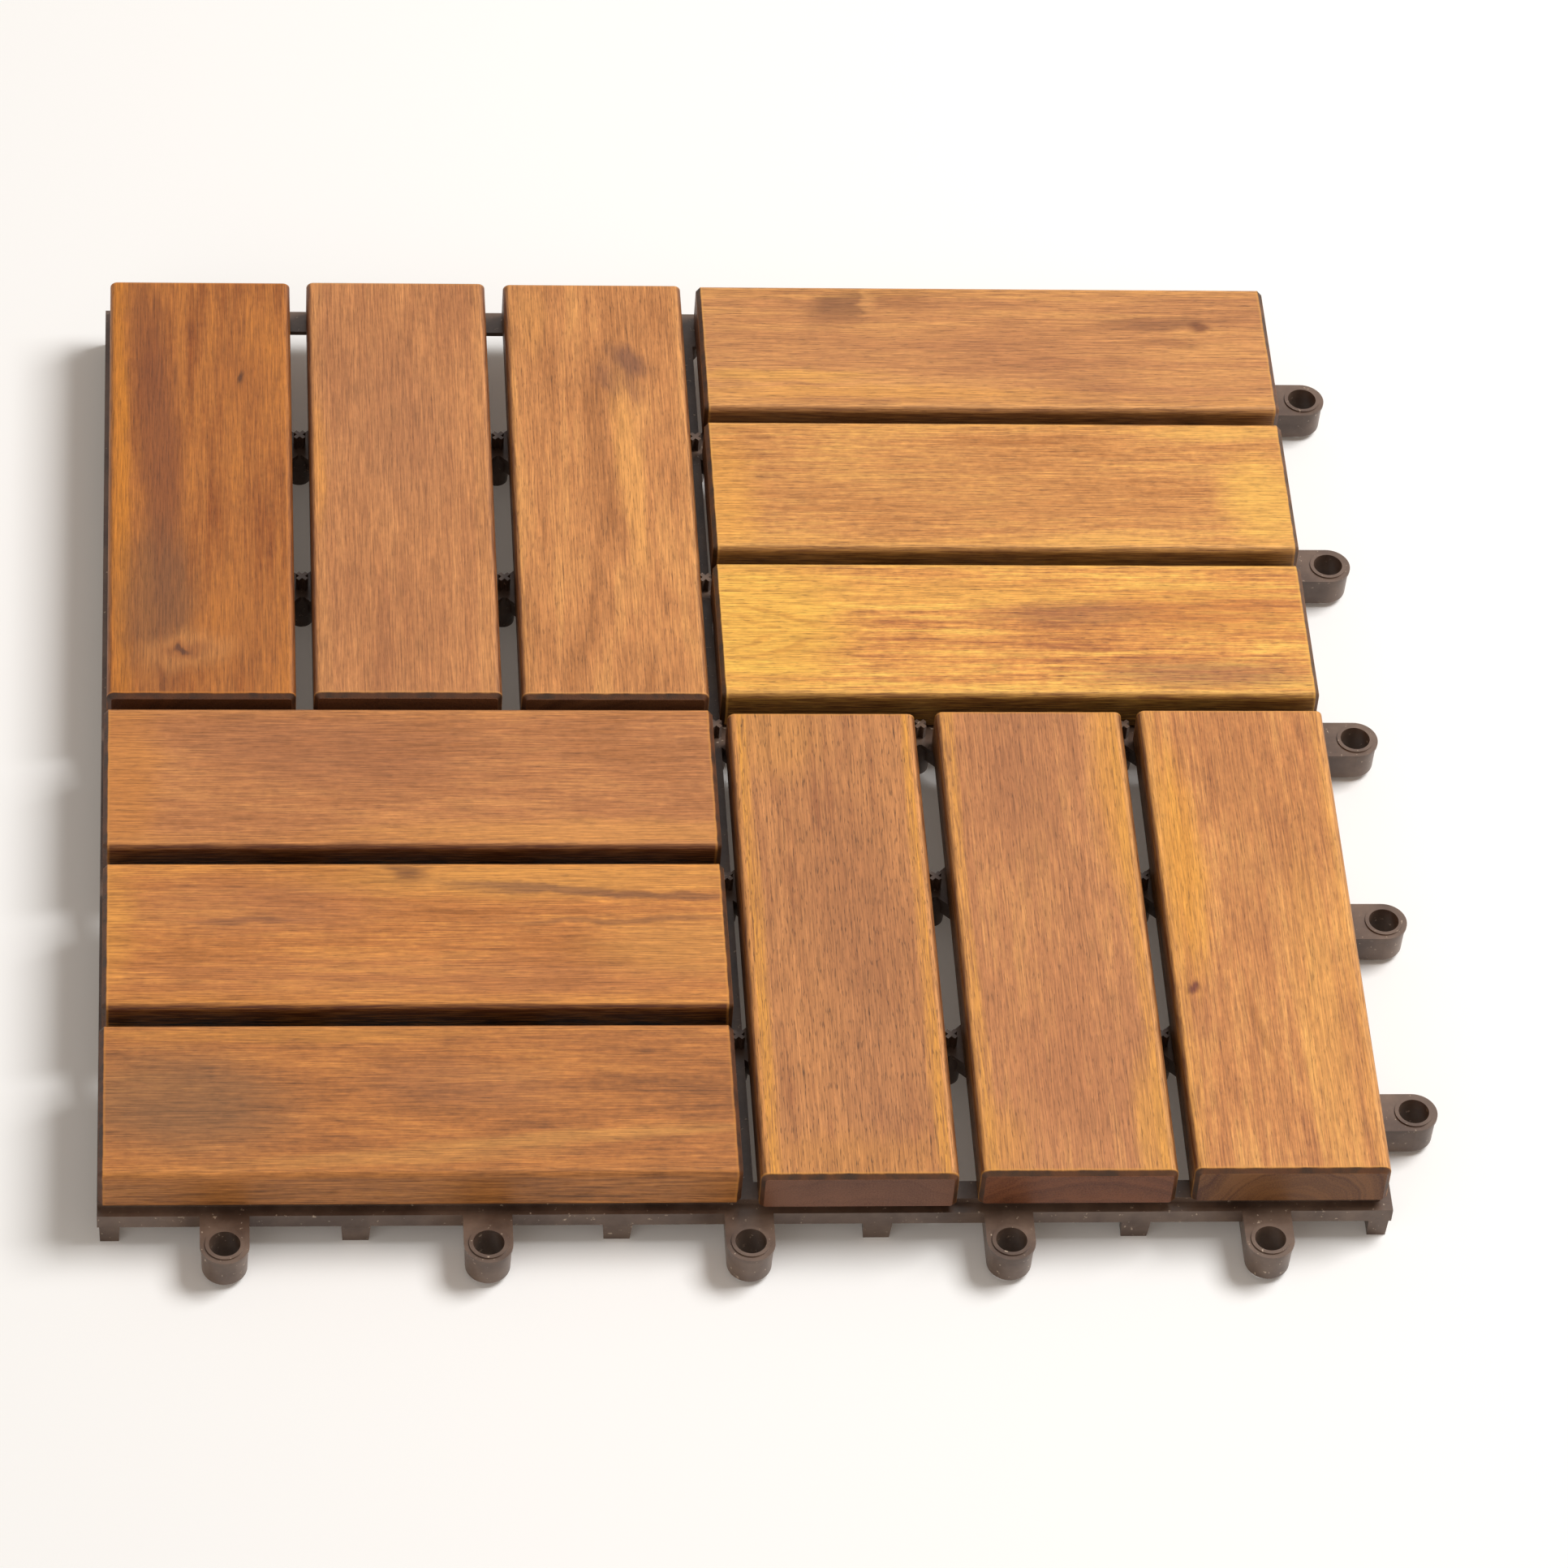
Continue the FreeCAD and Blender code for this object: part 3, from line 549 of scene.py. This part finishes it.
def zincPlatedSteel():
    # Bright zinc over pressed steel: a soft, pale grey mirror.
    material, tree, shader = newMaterial("zinc plated steel")
    shader.inputs["Base Color"].default_value = toLinear(screwSteel["colour"])
    shader.inputs["Metallic"].default_value = 1.0
    shader.inputs["Roughness"].default_value = screwSteel["roughness"]
    return material


finishNode("slat_screws", zincPlatedSteel())
print("grid and screws finished")

# Floor: pale, matt, wide enough to fill every view. Its glow lifts it to white where it is looked at.
paleFloor = {
    "halfWidth": 6.0,
    "colour": "#f5f5f4",
    "roughness": 0.9,
    "gloss": 0.1,
    "glow": 0.08,
    "glowColour": "#ffeede",
}


def seenPlainly(tree):
    # 1 for what is looked at, straight on, mirrored or through something; 0 for the light it sheds
    path = addNode(tree, "LightPath").node.outputs
    adding = {"operation": "ADD", "use_clamp": True}
    seen = addNode(tree, "Math", path["Is Camera Ray"], path["Is Glossy Ray"], **adding)
    return addNode(tree, "Math", seen, path["Is Transmission Ray"], **adding)


def layFloor():
    # one flat square at z = 0, where the grid's feet stand
    half = paleFloor["halfWidth"]
    corners = [(x * half, y * half, 0) for x, y in ((-1, -1), (1, -1), (1, 1), (-1, 1))]
    mesh = bpy.data.meshes.new("pale floor")
    mesh.from_pydata(corners, [], [(0, 1, 2, 3)])
    floor = bpy.data.objects.new("pale floor", mesh)
    bpy.context.scene.collection.objects.link(floor)
    material, tree, shader = newMaterial("matt white floor")
    shader.inputs["Base Color"].default_value = toLinear(paleFloor["colour"])
    shader.inputs["Roughness"].default_value = paleFloor["roughness"]
    shader.inputs["Specular IOR Level"].default_value = paleFloor["gloss"]
    shader.inputs["Emission Color"].default_value = toLinear(paleFloor["glowColour"])
    glow = addNode(tree, "Math", seenPlainly(tree), paleFloor["glow"], operation="MULTIPLY")
    tree.links.new(glow, shader.inputs["Emission Strength"])
    mesh.materials.append(material)


layFloor()
print("floor laid")

# Studio light: a large soft box behind and above on the right, a weak fill in front, and the white room.
studio = {
    "room": 0.30,
    "seenRoom": 1.0,
    "roomColour": "#fff3e6",  # walls bounce a little warm light into the shadows
    "seenColour": "#ffffff",
    "softBox": {"at": (1.25, 0.35, 1.90), "size": 1.1, "power": 49.0},
    "frontFill": {"at": (-0.9, -1.3, 0.9), "size": 1.2, "power": 3.0},
}


def hangLamp(name, lamp):
    # a square lamp that points at the tile
    light = bpy.data.lights.new(name, "AREA")
    light.shape = "SQUARE"
    light.size = lamp["size"]
    light.energy = lamp["power"]
    holder = bpy.data.objects.new(name, light)
    holder.location = lamp["at"]
    holder.rotation_euler = (-Vector(lamp["at"])).to_track_quat("-Z", "Y").to_euler()
    bpy.context.scene.collection.objects.link(holder)


def lightRoom():
    # an even room: its level lights the object, and it is white where it is looked at
    world = bpy.data.worlds.new("white room")
    bpy.context.scene.world = world
    world.use_nodes = True
    tree = world.node_tree
    tree.nodes.clear()
    seen = seenPlainly(tree)
    level = addNode(tree, "MapRange", seen, 0.0, 1.0, studio["room"], studio["seenRoom"])
    tint = addNode(tree, "Mix", seen, toLinear(studio["roomColour"]), toLinear(studio["seenColour"]),
                   data_type="RGBA")
    addNode(tree, "OutputWorld", addNode(tree, "Background", tint, level))


lightRoom()
hangLamp("soft box", studio["softBox"])
hangLamp("front fill", studio["frontFill"])

# Camera: the photograph's own station and height, a long lens turned on this tile.
camera = {
    "station": (-0.1318, -1.1620, 1.2451),
    "aim": (0.016, -0.0155, 0.0101),
    "lens": 160.0,
    "sensorWidth": 36.0,
    "clip": (0.05, 50.0),
    "roll": 5.4,              # degrees, keeps the front edge level as in the photograph
}


def setCamera():
    # stands at the station, looks at the aim and is rolled about its own line of sight
    lens = bpy.data.cameras.new("camera")
    lens.lens = camera["lens"]
    lens.sensor_width = camera["sensorWidth"]
    lens.clip_start, lens.clip_end = camera["clip"]
    holder = bpy.data.objects.new("camera", lens)
    station = Vector(camera["station"])
    holder.location = station
    facing = (Vector(camera["aim"]) - station).to_track_quat("-Z", "Y").to_matrix().to_4x4()
    facing = facing @ Matrix.Rotation(math.radians(camera["roll"]), 4, "Z")
    holder.rotation_euler = facing.to_euler()
    bpy.context.scene.collection.objects.link(holder)
    bpy.context.scene.camera = holder


setCamera()
bpy.context.scene.view_settings.view_transform = "Standard"
print("light and camera set")
